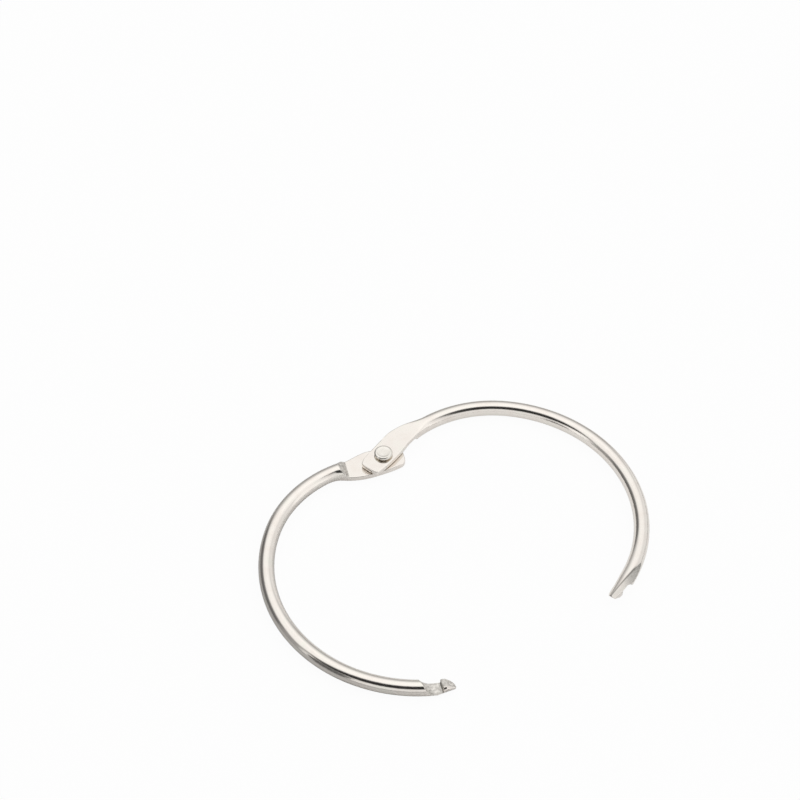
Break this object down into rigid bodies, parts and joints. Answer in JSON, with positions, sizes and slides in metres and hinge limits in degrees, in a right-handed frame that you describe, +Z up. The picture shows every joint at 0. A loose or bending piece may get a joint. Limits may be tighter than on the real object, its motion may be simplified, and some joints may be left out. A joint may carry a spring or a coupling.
{
  "type": "binder ring",
  "caption": "Hinged round-wire binder ring lying open: half hoops joined by a rivet through flat paddles, with a hooked lap clasp that shuts round punched sheets.",
  "frame": {"origin": "centre of the hook half's round sweep, on the surface that the ring lies on", "axes": "+Z up, along the ring's and the rivet's axis; +Y from the centre to the rivet; the hook half lies on the -X side and the socket half opens to +X"},
  "size_m": [0.0912, 0.0776, 0.0042],
  "materials": {
    "wire_nickel": "bright nickel plating on steel wire",
    "rivet_nickel": "nickel plating on a steel rivet"
  },
  "bodies": {
    "hook_side": {"hook_half": "wire_nickel", "rivet": "rivet_nickel"},
    "socket_side": {"socket_half": "wire_nickel"}
  },
  "joints": [
    {"name": "ring_hinge", "type": "hinge", "parent": "hook_side", "child": "socket_side", "pos_m": [0, 0.0311, 0.0018], "axis": [0, 0, 1], "range_deg": [-43, 115]}
  ]
}
